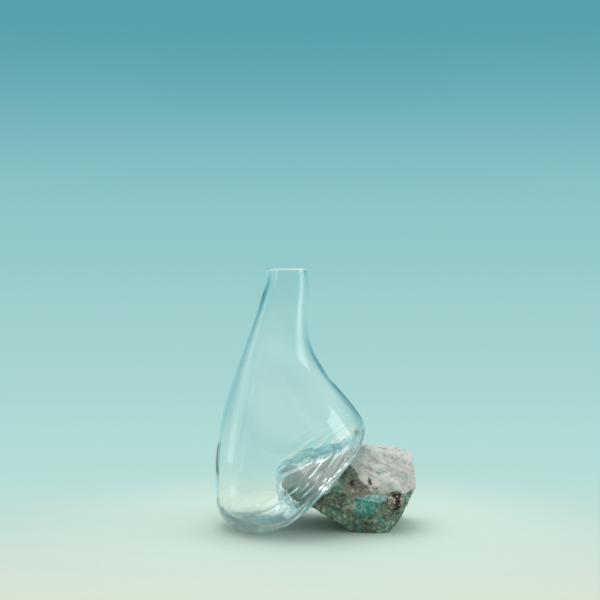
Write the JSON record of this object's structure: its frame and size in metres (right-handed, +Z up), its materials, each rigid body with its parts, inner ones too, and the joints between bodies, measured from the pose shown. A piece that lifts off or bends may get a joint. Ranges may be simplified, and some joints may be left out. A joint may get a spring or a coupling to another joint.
{
  "type": "blown glass vase with stone",
  "caption": "Clear hand-blown glass vase for cut flowers, with a leaning neck and a belly slumped over a rough stone that it leans on; the stone slides out.",
  "frame": {"origin": "on the ground foot of the glass, under the bubble's left half, at the plane that the part stands on", "axes": "+Z up through the mouth, +X from the foot towards the stone and the way the stone slides out, +Y away from the front"},
  "size_m": [0.1943, 0.1524, 0.25],
  "materials": {
    "blown_glass": "fire-polished clear",
    "rough_stone": "rough broken"
  },
  "bodies": {
    "vase": {"vessel": "blown_glass"},
    "rock": {"stone": "rough_stone"}
  },
  "joints": [
    {"name": "stone_slide", "type": "slide", "parent": "vase", "child": "rock", "axis": [1, 0, 0], "range_m": [0, 0.12]}
  ]
}
